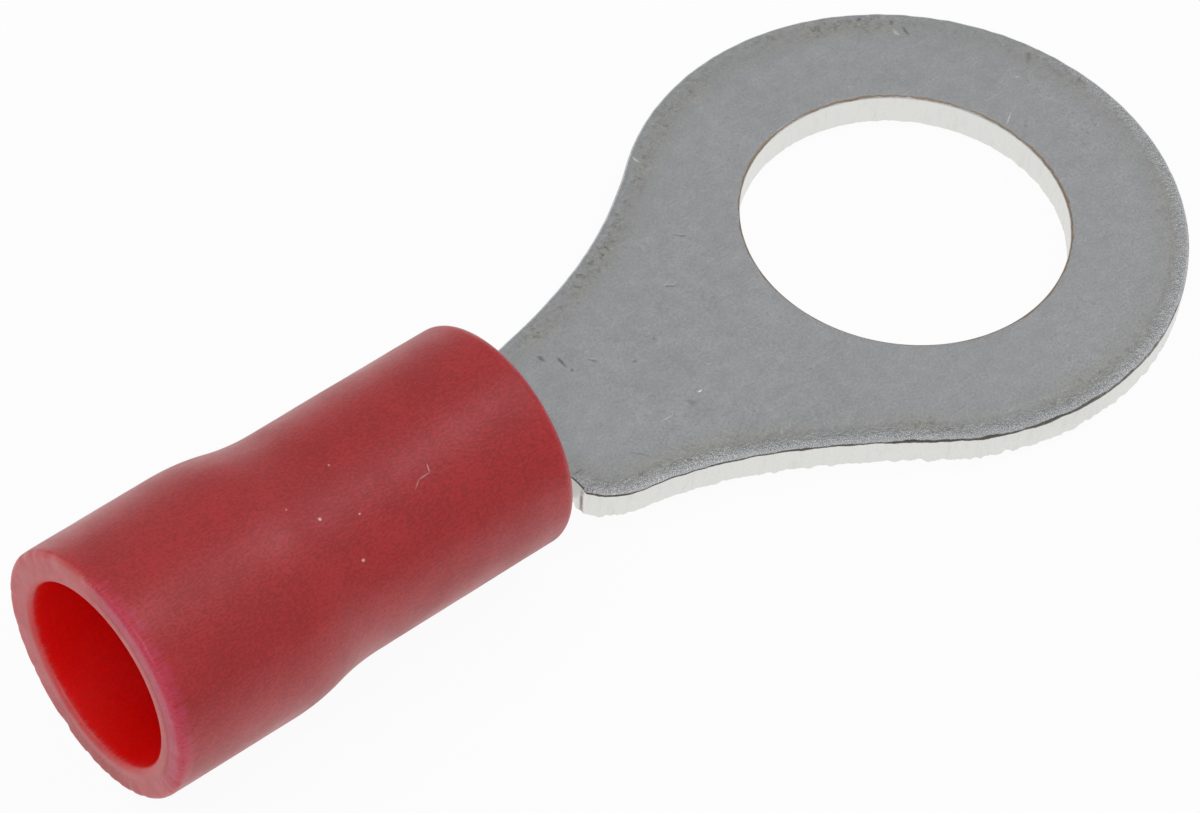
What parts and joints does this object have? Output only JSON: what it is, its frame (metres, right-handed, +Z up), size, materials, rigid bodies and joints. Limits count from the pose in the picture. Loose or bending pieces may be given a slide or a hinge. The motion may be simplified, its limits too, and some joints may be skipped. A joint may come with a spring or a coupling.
{
  "type": "insulated ring terminal",
  "caption": "Crimp ring terminal: flat tinned ring tongue on a rolled wire barrel, with a stepped red PVC sleeve over the barrel.",
  "frame": {"origin": "centre of the stud hole, on the tongue's flat contact face", "axes": "+Z up along the stud hole, away from the contact face; +X from the wire entry towards the ring's tip"},
  "size_m": [0.0253, 0.011, 0.0051],
  "materials": {
    "tinned_copper": "matte tin plate on copper sheet",
    "red_pvc": "satin extruded PVC"
  },
  "bodies": {
    "root": {"terminal": "tinned_copper", "insulating_sleeve": "red_pvc"}
  },
  "joints": []
}
